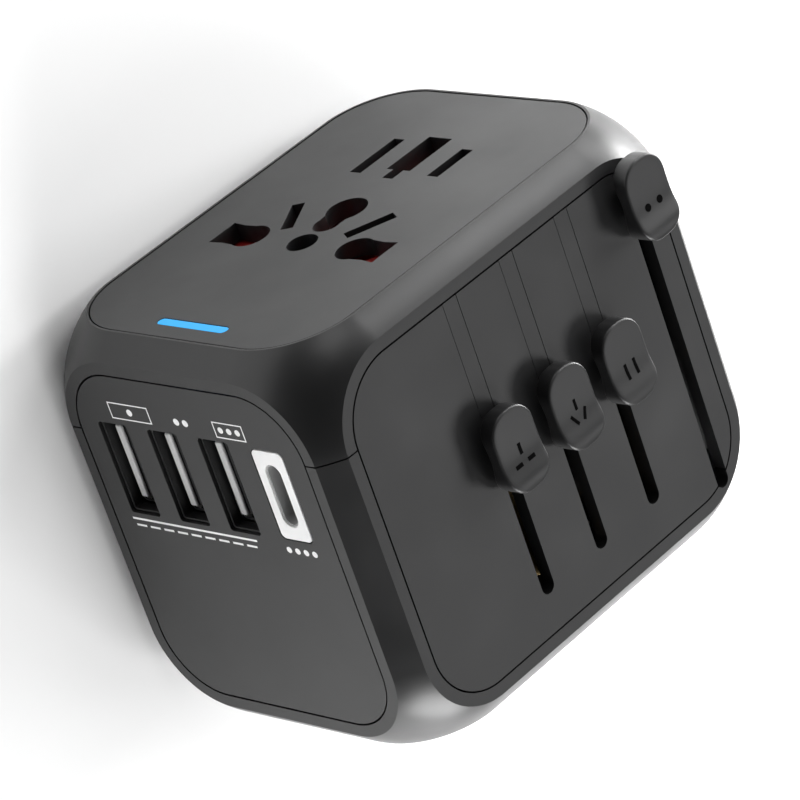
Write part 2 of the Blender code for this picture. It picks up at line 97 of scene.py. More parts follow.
# USB side.
USB_A_NODES = ("usb_a_shell_1", "usb_a_shell_2", "usb_a_shell_3")
USB_A_HALF = (6.7, 2.7)
USB_C = node_middle("usb_c_bezel")
USB_C_HALF = (6.5, 2.85)
PRINT_DEPTH = 0.03

# Socket side.
SLANT = math.radians(30)
LED = node_middle("led_light_pipe")


# Materials.

class Nodes:
    """Adds and links the nodes of one material."""

    def __init__(self, name):
        self.material = bpy.data.materials.new(name)
        self.material.use_nodes = True
        self.tree = self.material.node_tree
        self.shader = self.tree.nodes["Principled BSDF"]
        self.place = self.add("ShaderNodeTexCoord").outputs["Object"]

    def add(self, kind, inputs=None, **settings):
        made = self.tree.nodes.new(kind)
        for key, value in settings.items():
            setattr(made, key, value)
        for key, value in (inputs or {}).items():
            if isinstance(value, bpy.types.NodeSocket):
                self.tree.links.new(value, made.inputs[key])
            else:
                made.inputs[key].default_value = value
        return made

    def link(self, output, socket):
        self.tree.links.new(output, self.shader.inputs[socket])

    def noise(self, per_mm, detail=2.0, stretch=None):
        """Noise with about that many grains in a millimetre, optionally drawn out along an axis."""
        place = self.place
        if stretch:
            place = self.add("ShaderNodeMapping", {"Vector": place, "Scale": stretch}).outputs["Vector"]
        made = self.add("ShaderNodeTexNoise", {"Vector": place, "Scale": per_mm / MM, "Detail": detail})
        return made.outputs["Fac"]

    def spread(self, value, low, high):
        """A noise value's middle range, spread from low to high."""
        inputs = {"Value": value, "From Min": 0.3, "From Max": 0.7, "To Min": low, "To Max": high}
        return self.add("ShaderNodeMapRange", inputs).outputs["Result"]

    def colours(self, value, first, second):
        ramp = self.add("ShaderNodeValToRGB", {"Fac": value})
        ramp.color_ramp.elements[0].position = 0.3
        ramp.color_ramp.elements[1].position = 0.7
        ramp.color_ramp.elements[0].color = (*first, 1)
        ramp.color_ramp.elements[1].color = (*second, 1)
        self.link(ramp.outputs["Color"], "Base Color")

    def bump(self, height, depth_mm, strength=1.0):
        inputs = {"Height": height, "Distance": depth_mm * MM, "Strength": strength}
        made = self.add("ShaderNodeBump", inputs)
        self.link(made.outputs["Normal"], "Normal")


def shade(colour, factor):
    return tuple(part * factor for part in colour)


def plastic(name, colour, roughness, grains=4.0, depth_mm=0.004, spread=0.05, ior=1.5):
    """Moulded plastic: a fine spark-eroded grain, with slow changes of sheen and tone."""
    nodes = Nodes(name)
    slow = nodes.noise(0.08, 3.0)
    nodes.colours(slow, shade(colour, 0.93), shade(colour, 1.07))
    nodes.link(nodes.spread(slow, roughness - spread, roughness + spread), "Roughness")
    nodes.shader.inputs["IOR"].default_value = ior
    nodes.bump(nodes.noise(grains, 3.0), depth_mm)
    return nodes.material


def metal(name, colour, roughness, stretch=(1, 1, 1), depth_mm=0.00012):
    """Plated or drawn metal, with fine marks along its stretch."""
    nodes = Nodes(name)
    fine = nodes.noise(6.0, 3.0, stretch)
    nodes.colours(nodes.noise(0.3, 3.0), shade(colour, 0.97), shade(colour, 1.03))
    nodes.link(nodes.spread(fine, roughness * 0.85, roughness * 1.15), "Roughness")
    nodes.shader.inputs["Metallic"].default_value = 1.0
    nodes.bump(fine, depth_mm)
    return nodes.material


def light_pipe():
    """A lit light pipe, with slow random changes of tone."""
    nodes = Nodes("lit_light_pipe")
    nodes.colours(nodes.noise(0.4), (0.0, 0.018, 0.045), (0.0, 0.022, 0.05))
    nodes.shader.inputs["Roughness"].default_value = 0.35
    nodes.shader.inputs["Emission Color"].default_value = (0.0, 0.44, 1.0, 1)
    nodes.shader.inputs["Emission Strength"].default_value = 0.95
    return nodes.material


def circuit_board():
    """Green solder mask over tracks."""
    nodes = Nodes("solder_mask")
    tracks = nodes.add("ShaderNodeTexBrick", {"Vector": nodes.place, "Scale": 160.0})
    tracks.inputs["Color1"].default_value = (0.01, 0.12, 0.04, 1)
    tracks.inputs["Color2"].default_value = (0.012, 0.15, 0.05, 1)
    tracks.inputs["Mortar"].default_value = (0.03, 0.24, 0.1, 1)
    nodes.link(tracks.outputs["Color"], "Base Color")
    nodes.link(nodes.spread(nodes.noise(0.5), 0.25, 0.4), "Roughness")
    return nodes.material


# The floor's glow, by the distance from the object's middle in metres.
GLOW_START = 0.045
GLOW_FULL = 0.2
GLOW_STRENGTH = 0.85


def floor_paper():
    """Pale paper that glows away from the object, and so stays pale out of the lights' reach."""
    nodes = Nodes("floor_paper")
    length = nodes.add("ShaderNodeVectorMath", {"Vector": nodes.place}, operation="LENGTH")
    glow = nodes.add("ShaderNodeMapRange", {
        "Value": length.outputs["Value"], "From Min": GLOW_START, "From Max": GLOW_FULL,
        "To Min": 0, "To Max": GLOW_STRENGTH,
    })
    nodes.link(glow.outputs["Result"], "Emission Strength")
    nodes.shader.inputs["Emission Color"].default_value = (1, 1, 1, 1)
    nodes.colours(nodes.noise(0.02, 2.0), (0.95, 0.95, 0.95), (0.97, 0.97, 0.97))
    nodes.shader.inputs["Roughness"].default_value = 0.9
    nodes.bump(nodes.noise(0.5, 2.0), 0.01, 0.3)
    return nodes.material


CHARCOAL = plastic("charcoal_plastic", (0.008, 0.008, 0.0084), 0.38)
KNOB_PLASTIC = plastic("knob_plastic", (0.011, 0.011, 0.0115), 0.4)
BLACK = plastic("black_plastic", (0.006, 0.006, 0.0065), 0.5)
# Pin marks on the knobs: the marks are real, but their black coat, with almost no reflection, is painted
# shade that stands in for engraved recesses.
MARK_PAINTED_SHADE = plastic("mark_painted_shade", (0.003, 0.003, 0.003), 0.8, ior=1.05)
WHITE = plastic("white_plastic", (0.92, 0.92, 0.92), 0.35, depth_mm=0.002)
PRINT = plastic("white_print", (0.93, 0.93, 0.93), 0.6, depth_mm=0.002)
TIP_GREY = plastic("tongue_tip_grey", (0.75, 0.75, 0.75), 0.25, depth_mm=0.002)
PORT_GREY = plastic("port_lining_grey", (0.36, 0.36, 0.36), 0.45, depth_mm=0.002)
RED = plastic("red_shutter", (0.22, 0.004, 0.003), 0.5)
TAPE = plastic("transformer_tape", (0.75, 0.5, 0.06), 0.5)
CERAMIC = plastic("fuse_ceramic", (0.72, 0.7, 0.63), 0.45)
SLEEVE = plastic("pin_sleeve", (0.012, 0.012, 0.013), 0.38)
NICKEL = metal("nickel_plate", (0.62, 0.61, 0.59), 0.3, (1, 0.1, 1))
DARK_NICKEL = metal("dark_nickel", (0.1, 0.1, 0.105), 0.35, (0.1, 1, 1))
BRASS = metal("brass", (0.78, 0.58, 0.3), 0.32, (1, 0.1, 1))
LIGHT = light_pipe()
BOARD = circuit_board()
PAPER = floor_paper()


# Outlines. Each is a list of points on the plane that is crossed by the axis of its prism.

def arc(centre, radius, start, end, steps):
    turns = [start + (end - start) * step / steps for step in range(steps + 1)]
    return [(centre[0] + radius * math.cos(turn), centre[1] + radius * math.sin(turn)) for turn in turns]


def circle(centre, radius, steps=40):
    return arc(centre, radius, 0, math.tau, steps)[:-1]


def rounded(centre, half, radius, steps=8):
    """A rectangle with round corners."""
    outline = []
    for quarter, (side_u, side_v) in enumerate(((1, 1), (-1, 1), (-1, -1), (1, -1))):
        corner = (centre[0] + side_u * (half[0] - radius), centre[1] + side_v * (half[1] - radius))
        start = quarter * math.pi / 2
        outline += arc(corner, radius, start, start + math.pi / 2, steps)
    return outline


def rectangle(low_u, high_u, low_v, high_v):
    return [(low_u, low_v), (high_u, low_v), (high_u, high_v), (low_u, high_v)]


def turned(outline, centre, angle):
    """The outline turned about a point."""
    cosine = math.cos(angle)
    sine = math.sin(angle)
    moved = [(u - centre[0], v - centre[1]) for u, v in outline]
    return [(centre[0] + u * cosine - v * sine, centre[1] + u * sine + v * cosine) for u, v in moved]


def bar(centre, half_length, half_width, angle=0.0):
    """A straight bar at an angle from the plane's first axis."""
    low_u = centre[0] - half_length
    low_v = centre[1] - half_width
    outline = rectangle(low_u, low_u + 2 * half_length, low_v, low_v + 2 * half_width)
    return turned(outline, centre, angle)


def face_outline(axis, inset, steps=ARC_STEPS):
    """A flat side's outline, drawn in by an inset."""
    half = [HALF[index] for index in range(3) if index != "XYZ".index(axis)]
    cut = ROUNDING - ROUNDED_REACH
    corner = math.sqrt(ROUNDING**2 - cut**2)
    edge = cut - corner
    return rounded((0, 0), (half[0] - edge - inset, half[1] - edge - inset), corner - inset, steps)


# Solids, as bmesh data in millimetres from the middle of the case.

def prism(axis, outline, low, high, solid=None):
    """Adds an outline drawn out along X, Y or Z. The outline's points keep the order X, Y, Z."""
    return loft(axis, [(outline, low), (outline, high)], solid)


def loft(axis, sections, solid=None):
    """Adds a closed solid through outlines of the same number of points, at levels along an axis."""
    solid = solid or bmesh.new()
    index = "XYZ".index(axis)
    rings = []
    for outline, level in sections:
        ring = []
        for point in outline:
            place = list(point)
            place.insert(index, level)
            ring.append(solid.verts.new(place))
        rings.append(ring)
    solid.faces.new(rings[0])
    solid.faces.new(rings[-1])
    for bottom, top in zip(rings, rings[1:]):
        for step in range(len(bottom)):
            after = (step + 1) % len(bottom)
            solid.faces.new((bottom[step], bottom[after], top[after], top[step]))
    bmesh.ops.recalc_face_normals(solid, faces=solid.faces)
    return solid


def box(low, high, solid=None):
    return prism("Z", rectangle(low[0], high[0], low[1], high[1]), low[2], high[2], solid)


def hull(points):
    """The closed solid that is stretched over the points, with its flat sides in one face each."""
    solid = bmesh.new()
    for point in points:
        solid.verts.new(point)
    bmesh.ops.convex_hull(solid, input=solid.verts)
    bmesh.ops.dissolve_limit(solid, angle_limit=math.radians(0.2), verts=solid.verts, edges=solid.edges)
    bmesh.ops.recalc_face_normals(solid, faces=solid.faces)
    return solid


def case_points(inset, steps):
    """Points on the case: its flat sides' outlines, its long edges and its round corners."""
    radius = ROUNDING - inset
    cut = ROUNDING - ROUNDED_REACH - inset
    ring = math.sqrt(radius**2 - cut**2)
    directions = []
    for axis in range(3):
        for turn in range(steps + 1):
            angle = math.pi / 2 * turn / steps
            place = [ring * math.cos(angle), ring * math.sin(angle)]
            place.insert(axis, cut)
            directions.append(Vector(place))
    for first in range(steps + 1):
        for second in range(steps + 1 - first):
            place = Vector((first, second, steps - first - second)).normalized() * radius
            if max(place) < cut - 0.05:
                directions.append(place)
    points = []
    for direction in directions:
        place = CORE + direction
        for side_x in (1, -1):
            for side_y in (1, -1):
                for side_z in (1, -1):
                    points.append(Vector((place.x * side_x, place.y * side_y, place.z * side_z)))
    return points


def case_slice(inset, low_y, high_y, steps=ARC_STEPS):
    """The part of the case between two levels along Y."""
    solid = hull(case_points(inset, steps))
    for level, outward in ((low_y, -1), (high_y, 1)):
        everything = list(solid.verts) + list(solid.edges) + list(solid.faces)
        bmesh.ops.bisect_plane(
            solid, geom=everything, plane_co=(0, level, 0), plane_no=(0, outward, 0), clear_outer=True
        )
    points = [vertex.co.copy() for vertex in solid.verts]
    solid.free()
    return hull(points)


# Pieces.

def new_object(name, solid):
    """An object of a solid, in metres from the frame's own origin."""
    solid.transform(Matrix.Scale(MM, 4) @ Matrix.Translation(MIDDLE))
    mesh = bpy.data.meshes.new(name)
    solid.to_mesh(mesh)
    solid.free()
    mesh.shade_smooth()
    made = bpy.data.objects.new(name, mesh)
    bpy.context.scene.collection.objects.link(made)
    return made


def settle(made):
    """Turns a piece's modifiers into its mesh."""
    bpy.context.view_layer.update()
    graph = bpy.context.evaluated_depsgraph_get()
    mesh = bpy.data.meshes.new_from_object(made.evaluated_get(graph))
    made.modifiers.clear()
    made.data = mesh


def piece(name, solid, coat, body, nodes=(), cuts=(), joins=(), bevel=0.0, segments=2, sharp=30):
    """A finished piece of a solid, with other solids joined on and cut out, and its edges bevelled."""
    made = new_object(name, solid)
    guides = []
    for operation, solids in (("UNION", joins), ("DIFFERENCE", cuts)):
        for other in solids:
            guide = new_object(f"{name} guide", other)
            modifier = made.modifiers.new(operation, "BOOLEAN")
            modifier.operation = operation
            modifier.solver = "EXACT"
            modifier.object = guide
            guides.append(guide)
    if guides:
        settle(made)
    for guide in guides:
        bpy.data.objects.remove(guide)
    if bevel:
        modifier = made.modifiers.new("edges", "BEVEL")
        modifier.width = bevel * MM
        modifier.segments = segments
        modifier.limit_method = "ANGLE"
        modifier.angle_limit = math.radians(25)
        modifier.harden_normals = True
        settle(made)
    else:
        made.data.set_sharp_from_angle(angle=math.radians(sharp))
    made.data.materials.clear()
    made.data.materials.append(coat)
    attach(made, body)
    if nodes:
        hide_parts(*nodes)
    return made


# Case.

def smooth_corners(made):
    """Gives the round parts of the case the exact directions of the shape that they lie on."""
    mesh = made.data
    directions = [corner.vector.copy() for corner in mesh.corner_normals]
    for face in mesh.polygons:
        if max(abs(part) for part in face.normal) > 0.9995:
            continue
        for index in face.loop_indices:
            place = mesh.vertices[mesh.loops[index].vertex_index].co / MM - MIDDLE
            core = Vector([min(max(part, -limit), limit) for part, limit in zip(place, CORE)])
            if abs((place - core).length - ROUNDING) < 0.05:
                directions[index] = (place - core).normalized()
    mesh.normals_split_custom_set(directions)


def slot_outline(x, low_y, tip_y, width=SLOT_WIDTH):
    """A slider's slot, square at its start and round at its tip."""
    half = width / 2
    return [(x - half, low_y), (x + half, low_y), *arc((x, tip_y - half), half, 0, math.pi, 12)]


def panel_windows():
    """The openings of the case that the USB panel and the slider panel close."""
    depth = WALL + 0.3
    inset = PANEL_INSET - PANEL_GAP / 2
    return [
        prism("X", face_outline("X", inset), HALF.x - depth, HALF.x + 5),
        prism("Z", face_outline("Z", inset), HALF.z - depth, HALF.z + 5),
    ]


def tower_outline(extra):
    """The long hexagon of a europlug body."""
    middle = node_middle("eu_pin_1").x
    half_x = 3.4 + extra
    half_z = 13.8 + extra
    shoulder = half_z - half_x * 0.8
    tip = half_x * 0.45
    corners = [(half_x, -shoulder), (half_x, shoulder), (tip, half_z), (-tip, half_z),
               (-half_x, shoulder), (-half_x, -shoulder), (-tip, -half_z), (tip, -half_z)]
    return [(middle + x, z) for x, z in corners]


def pin_openings():
    """Clearance holes for every pin in the plug side of the case."""
    low = HALF.y - 2 * WALL
    high = HALF.y + WALL
    solid = bmesh.new()
    for node in ("uk_pin_live", "uk_pin_neutral", "uk_pin_earth"):
        pin_low, pin_high = node_box(node)
        middle = (pin_low + pin_high) / 2
        half = ((pin_high.x - pin_low.x) / 2 + 0.4, (pin_high.z - pin_low.z) / 2 + 0.4)
        prism("Y", rounded((middle.x, middle.z), half, 0.5, 4), low, high, solid)
    for number, side in ((1, 1), (2, -1)):
        aus = node_middle(f"aus_blade_{number}")
        us = node_middle(f"us_blade_{number}")
        prism("Y", bar((aus.x, aus.z), 3.6, 1.15, -side * SLANT), low, high, solid)
        prism("Y", bar((us.x, us.z), 3.6, 1.15), low, high, solid)
    prism("Y", tower_outline(0.4), low, high, solid)
    return solid


def make_case():
    gap = PARTING_GAP / 2
    cavity = case_slice(WALL, -EVERY_SIDE, 0, 6)
    seat = prism("Y", face_outline("Y", PLATE_INSET - PLATE_GAP), -EVERY_SIDE, PLATE_HIGH.y + 0.3)
    half = case_slice(0, -EVERY_SIDE, PARTING_Y - gap)
    smooth_corners(piece("socket_case", half, CHARCOAL, "case", ["socket_housing"],
                         cuts=[cavity, *panel_windows(), seat], bevel=FINE_BEVEL))

    cavity = case_slice(WALL, -EVERY_SIDE, EVERY_SIDE, 6)
    eu_x = node_middle("eu_knob").x
    notch = prism("Z", slot_outline(eu_x, 15.0, EU_SLOT_TIP_Y), HALF.z - 5.7, HALF.z + 5.2)
    half = case_slice(0, PARTING_Y + gap, EVERY_SIDE)
    smooth_corners(piece("plug_case", half, CHARCOAL, "case", ["plug_housing"],
                         cuts=[cavity, *panel_windows(), pin_openings(), notch], bevel=FINE_BEVEL))


def make_bay_wall():
    """The wall between the europlug's bay and the rest of the case."""
    wall_x = node_middle("eu_pin_1").x + 4.0
    thick = 0.7
    wall = box((wall_x, 9.0, -15.5), (wall_x + thick, HALF.y - WALL, 22.6))
    piece("europlug_bay_wall", wall, BLACK, "case", bevel=0.1)


def make_slider_panel():
    inset = PANEL_INSET + PANEL_GAP / 2
    slots = bmesh.new()
    slot_span = (HALF.z - 3, HALF.z + 1)
    channels = bmesh.new()
    channel_half = STRIP_WIDTH / 2
    edge_y = min(y for _, y in face_outline("Z", inset))
    for slider in SLIDERS[:3]:
        knob = node_middle(f"{slider}_knob")
        end_y = node_box(f"slot_strip_{slider}")[1].y + 2.2
        prism("Z", slot_outline(knob.x, knob.y - SLOT_START_BACK, SLOT_TIP_Y), *slot_span, slots)
        channel = rectangle(knob.x - channel_half, knob.x + channel_half, edge_y - 1, end_y)
        prism("Z", channel, HALF.z - 1.2, HALF.z + 1, channels)
        strip_half = channel_half - STRIP_LINE
        strip = rectangle(knob.x - strip_half, knob.x + strip_half, edge_y, end_y - STRIP_LINE)
        piece(f"slot_filler_{slider}", prism("Z", strip, HALF.z - 1.0, HALF.z - 0.01), CHARCOAL, "case",
              [f"slot_strip_{slider}"], bevel=0.03)
    knob = node_middle("eu_knob")
    prism("Z", slot_outline(knob.x, knob.y - SLOT_START_BACK, EU_SLOT_TIP_Y), *slot_span, slots)
    piece("slider_cover", prism("Z", face_outline("Z", inset), HALF.z - WALL, HALF.z), CHARCOAL, "case",
          ["slider_panel"], cuts=[slots, channels], bevel=0.05)


# Socket side.

def live_hole(side):
    """A round hole that runs on into an oblong one with slightly flared sides."""
    round_part = arc((7.05, 9.4), 2.6, math.radians(26), math.radians(-206), 28)
    outline = [(9.5, 14.7), (9.25, 12.6), *round_part, (4.85, 12.6), (4.6, 14.7)]
    return [(x, side * z) for x, z in outline]


def earth_hole():
    return [(-19.7, -2.0), (-11.35, -2.0), (-11.35, -0.85), (-9.2, -0.85),
            (-9.2, 0.95), (-11.35, 0.95), (-11.35, 2.1), (-19.7, 2.1)]


def middle_hole():
    """The long hole in the middle, which steps down to a smaller round end."""
    back = arc((-1.3, 0.1), 2.85, math.radians(44), math.radians(316), 28)
    front = arc((2.4, 0.1), 1.95, math.radians(-108), math.radians(108), 20)
    return [*back, *front]


def make_socket_plate():
    holes = bmesh.new()
    outlines = [
        live_hole(1), live_hole(-1), earth_hole(), middle_hole(), circle((7.1, 0.1), 2.1),
        rectangle(-18.5, -9.75, -7.25, -5.35), rectangle(-17.6, -10.7, 5.75, 7.65),
        bar((1.65, 7.1), 3.35, 0.88, -SLANT), bar((1.65, -6.9), 3.35, 0.88, SLANT),
        rounded((LED.x, LED.z), (0.75, 6.22), 0.74),
    ]
    for outline in outlines:
        prism("Y", outline, PLATE_FACE_Y - 1, PLATE_HIGH.y + 1, holes)
    plate = prism("Y", face_outline("Y", PLATE_INSET), PLATE_FACE_Y, PLATE_HIGH.y)
    piece("socket_cover", plate, CHARCOAL, "case", ["socket_plate"],
          cuts=[holes], bevel=0.06)

    low, high = node_box("led_light_pipe")
    outline = rounded((LED.x, LED.z), ((high.x - low.x) / 2, (high.z - low.z) / 2), 0.66)
    piece("light_bar", prism("Y", outline, PLATE_FACE_Y + 0.02, high.y), LIGHT, "case",
          ["led_light_pipe"], bevel=0.12)


# USB side.

def make_usb_side():
    inset = PANEL_INSET + PANEL_GAP / 2
    ports = bmesh.new()
    for node in USB_A_NODES:
        middle = node_middle(node)
        prism("X", rounded((middle.y, middle.z), USB_A_HALF, 0.45), HALF.x - 3, HALF.x + 1, ports)
    prism("X", rounded((USB_C.y, USB_C.z), USB_C_HALF, 0.95), HALF.x - 3, HALF.x + 1, ports)
    face = HALF.x - PRINT_DEPTH / 2
    piece("usb_cover", prism("X", face_outline("X", inset), HALF.x - WALL, face), CHARCOAL, "case",
          ["usb_panel"], cuts=[ports], bevel=0.05)
    for number in (1, 2, 3):
        make_usb_a(number)
    make_usb_c()
    make_print()


def make_usb_a(number):
    """A port: a moulded frame, a steel shell with two springs, and a tongue with four contacts."""
    low, high = node_box(f"usb_a_shell_{number}")
    middle = (low + high) / 2
    spot = (middle.y, middle.z)
    outer = (USB_A_HALF[0] - 0.04, USB_A_HALF[1] - 0.04)
    hollow = prism("X", rounded(spot, (outer[0] - 0.3, outer[1] - 0.3), 0.25), 31.0, 36.0)
    piece(f"usb_a_frame_{number}", prism("X", rounded(spot, outer, 0.42), 32.0, HALF.x - 0.5), BLACK,
          "case", cuts=[hollow], bevel=0.08)

    half = (USB_A_HALF[0] - 0.5, USB_A_HALF[1] - 0.5)
    inside = prism("X", rounded(spot, (half[0] - 0.3, half[1] - 0.3), 0.3), low.x + 0.6, 36.0)
    piece(f"usb_a_port_shell_{number}", prism("X", rounded(spot, half, 0.5), low.x, 31.9), DARK_NICKEL,
          "case", [f"usb_a_shell_{number}"], cuts=[inside], bevel=0.04)
    springs = bmesh.new()
    for side in (-1, 1):
        end_y = middle.y + side * (half[0] - 0.32)
        lean = [(31.8, end_y), (31.0, end_y - side * 0.7), (29.0, end_y)]
        prism("Z", lean, middle.z - 1.9, middle.z - 0.9, springs)
    piece(f"usb_a_springs_{number}", springs, NICKEL, "case", bevel=0.06)

    low, high = node_box(f"usb_a_tongue_{number}")
    cap_x = high.x - 0.5
    piece(f"usb_a_tongue_body_{number}", box((low.x, low.y, low.z), (cap_x, high.y, high.z)), BLACK,
          "case", [f"usb_a_tongue_{number}"], bevel=0.1)
    nose = box((cap_x + 0.01, low.y, low.z), (high.x, high.y, high.z - 0.4))
    piece(f"usb_a_tongue_tip_{number}", nose, TIP_GREY, "case", bevel=0.3, segments=4)
    contacts = bmesh.new()
    for step in (-1.5, -0.5, 0.5, 1.5):
        contact_y = (low.y + high.y) / 2 + step * 2.2
        end = (cap_x - 0.4, contact_y + 0.5, high.z + 0.12)
        box((low.x + 1, contact_y - 0.5, high.z + 0.01), end, contacts)
    piece(f"usb_a_contacts_{number}", contacts, BRASS, "case", bevel=0.03)


def make_usb_c():
    """The small port: a white insert, a grey lining and a thin tongue."""
    spot = (USB_C.y, USB_C.z)
    slot = prism("X", rounded(spot, (4.45, 1.35), 1.34, 12), 25.0, 36.0)
    outer = (USB_C_HALF[0] - 0.16, USB_C_HALF[1] - 0.16)
    piece("usb_c_insert", prism("X", rounded(spot, outer, 0.8), 24.0, HALF.x - 0.02), WHITE, "case",
          ["usb_c_bezel"], cuts=[slot], bevel=0.08)
    hollow = prism("X", rounded(spot, (4.2, 1.1), 1.09, 12), 26.0, 36.0)
    piece("usb_c_lining", prism("X", rounded(spot, (4.43, 1.33), 1.32, 12), 25.2, HALF.x - 0.25),
          PORT_GREY, "case", cuts=[hollow], bevel=0.05)
    low, high = node_box("usb_c_tongue")
    piece("usb_c_blade", box(low, (high.x - 2.5, high.y, high.z)), BLACK, "case",
          ["usb_c_tongue"], bevel=0.12)


def frame_strokes(centre, half, width, solid):
    """The four strokes of a rectangular frame on the USB side."""
    for side in (-1, 1):
        long_spot = (centre[0] + side * (half[0] - width / 2), centre[1])
        long_stroke = bar(long_spot, width / 2, half[1])
        short_spot = (centre[0], centre[1] + side * (half[1] - width / 2))
        short_stroke = bar(short_spot, half[0] - width, width / 2)
        for stroke in (long_stroke, short_stroke):
            prism("X", stroke, HALF.x - PRINT_DEPTH, HALF.x, solid)


def dots(count, centre, pitch, radius, solid):
    """A row of dots that counts a port, along the row of ports."""
    for step in range(count):
        spot = (centre[0], centre[1] + (step - (count - 1) / 2) * pitch)
        prism("X", circle(spot, radius, 16), HALF.x - PRINT_DEPTH, HALF.x, solid)


def make_print():
    """White marks: dots that number the ports, two of them framed, and the sign for direct current."""
    port_z = [node_middle(node).z for node in USB_A_NODES]
    marks = bmesh.new()
    frame_strokes((-18.7, -9.5), (1.2, 3.7), 0.16, marks)
    dots(1, (-18.7, -9.5), 1.6, 0.5, marks)
    dots(2, (-18.5, -0.15), 1.6, 0.5, marks)
    frame_strokes((-18.35, 8.45), (1.15, 2.65), 0.16, marks)
    dots(3, (-18.35, 8.45), 1.5, 0.45, marks)
    row_low = port_z[0] - 3.0
    row_high = 6.0
    prism("X", rectangle(-2.45, -2.15, row_low, row_high), HALF.x - PRINT_DEPTH, HALF.x, marks)
    dashes = 9
    pitch = (row_high - row_low) / dashes
    for step in range(dashes):
        start = row_low + step * pitch
        dash = rectangle(-1.5, -1.2, start + 0.35, start + pitch - 0.35)
        prism("X", dash, HALF.x - PRINT_DEPTH, HALF.x, marks)
    dots(4, (-1.9, USB_C.z), 1.5, 0.45, marks)
    piece("usb_marks", marks, PRINT, "case")


# Sliders.

def knob_height(along):
    """Height of a knob's top over the panel, from its socket end at -1 to its plug end at 1."""
    lip = 0.8 * math.exp(-(((along - 0.78) / 0.42) ** 2))
    return 3.5 + lip


def knob_foot(along):
    """Height of a knob's underside over the panel."""
    return KNOB_FOOT + 0.35 * math.cos(math.pi * along)


def knob_outline(half, inset):
    """A knob's outline, drawn in by an inset, with extra points along its straight sides."""
    radius = max(KNOB_CORNER - inset, 0.1)
    corner_steps = 8
    side_steps = 10
    corners = rounded((0, 0), (half[0] - inset, half[1] - inset), radius, corner_steps)
    outline = []
    for index, (u, v) in enumerate(corners):
        outline.append((u, v))
        if index % (corner_steps + 1) == corner_steps:
            next_u, next_v = corners[(index + 1) % len(corners)]
            for step in range(1, side_steps):
                share = step / side_steps
                outline.append((u + (next_u - u) * share, v + (next_v - v) * share))
    return outline


def knob_solid(x, y, half):
    """A rounded thumb pad with a waved top, built from rings that follow its outline."""
    turn_steps = 6
    rings = []

    def ring(inset, height_of, drop):
        places = []
        for u, v in knob_outline(half, min(inset, half[0] - 0.1)):
            across = 0.0 if inset > half[0] else u
            places.append((x + across, y + v, HALF.z + height_of(v / half[1]) + drop))
        rings.append(places)

    for inset in (4.0, 2.6, 1.3):
        ring(inset, knob_foot, 0.0)
    for step in range(turn_steps + 1):
        turn = math.pi / 2 * step / turn_steps
        ring(KNOB_EDGE * (1 - math.sin(turn)), knob_foot, KNOB_EDGE * (1 - math.cos(turn)))
    for step in range(turn_steps + 1):
        turn = math.pi / 2 * step / turn_steps
        ring(KNOB_EDGE * (1 - math.cos(turn)), knob_height, -KNOB_EDGE * (1 - math.sin(turn)))
    for inset in (0.7, 1.2, 1.7, 2.2, 2.7, 3.2, 4.0):
        ring(inset, knob_height, 0.0)

    solid = bmesh.new()
    rows = [[solid.verts.new(place) for place in places] for places in rings]
    for bottom, top in zip(rows, rows[1:]):
        for step in range(len(bottom)):
            after = (step + 1) % len(bottom)
            solid.faces.new((bottom[step], bottom[after], top[after], top[step]))
    bmesh.ops.remove_doubles(solid, verts=solid.verts, dist=0.0001)
    bmesh.ops.dissolve_degenerate(solid, edges=solid.edges, dist=0.0001)
    bmesh.ops.recalc_face_normals(solid, faces=solid.faces)
    return solid


def pin_marks(slider):
    """The pattern of a country's pins, as outlines around the middle of a knob."""
    if slider == "uk":
        return [bar((-1.15, 1.1), 0.62, 0.26), bar((1.15, 1.1), 0.62, 0.26), bar((0, -0.75), 0.26, 0.75)]
    if slider == "aus":
        lean = math.radians(60)
        return [bar((-0.95, 0.75), 0.8, 0.22, lean), bar((0.95, 0.75), 0.8, 0.22, -lean),
                bar((0, -0.95), 0.22, 0.75)]
    if slider == "us":
        return [bar((-0.85, 0.3), 0.24, 1.05), bar((0.85, 0.3), 0.24, 1.05)]
    return [circle((-1.15, 0.2), 0.52, 20), circle((1.15, 0.2), 0.52, 20)]


def make_knob(slider):
    low, high = node_box(f"{slider}_knob")
    x = (low.x + high.x) / 2
    y = (low.y + high.y) / 2
    half = ((high.x - low.x) / 2, (high.y - low.y) / 2)
    neck = box((x - 0.8, y - 1.7, low.z), (x + 0.8, y + 1.7, HALF.z + 2.4))
    piece(f"{slider}_thumb_knob", knob_solid(x, y, half), KNOB_PLASTIC, f"{slider}_slider",
          [f"{slider}_knob"], joins=[neck], sharp=50)

    # The marks are cut into strips along Y, so that they can follow the waved top.
    marks = bmesh.new()
    mark_y = y + 0.7
    for outline in pin_marks(slider):
        prism("Z", [(x + u, mark_y + v) for u, v in outline], -0.1, 0.03, marks)
    for step in range(-8, 9):
        everything = list(marks.verts) + list(marks.edges) + list(marks.faces)
        cut_y = y + 0.35 * step
        bmesh.ops.bisect_plane(marks, geom=everything, plane_co=(0, cut_y, 0), plane_no=(0, 1, 0))
    for vertex in marks.verts:
        vertex.co.z += HALF.z + knob_height((vertex.co.y - y) / half[1])
    # The marks sit on the top in a black, unreflecting coat: painted shade in place of engraved
    # recesses.
    piece(f"{slider}_knob_marks", marks, MARK_PAINTED_SHADE, f"{slider}_slider")


# Pins.

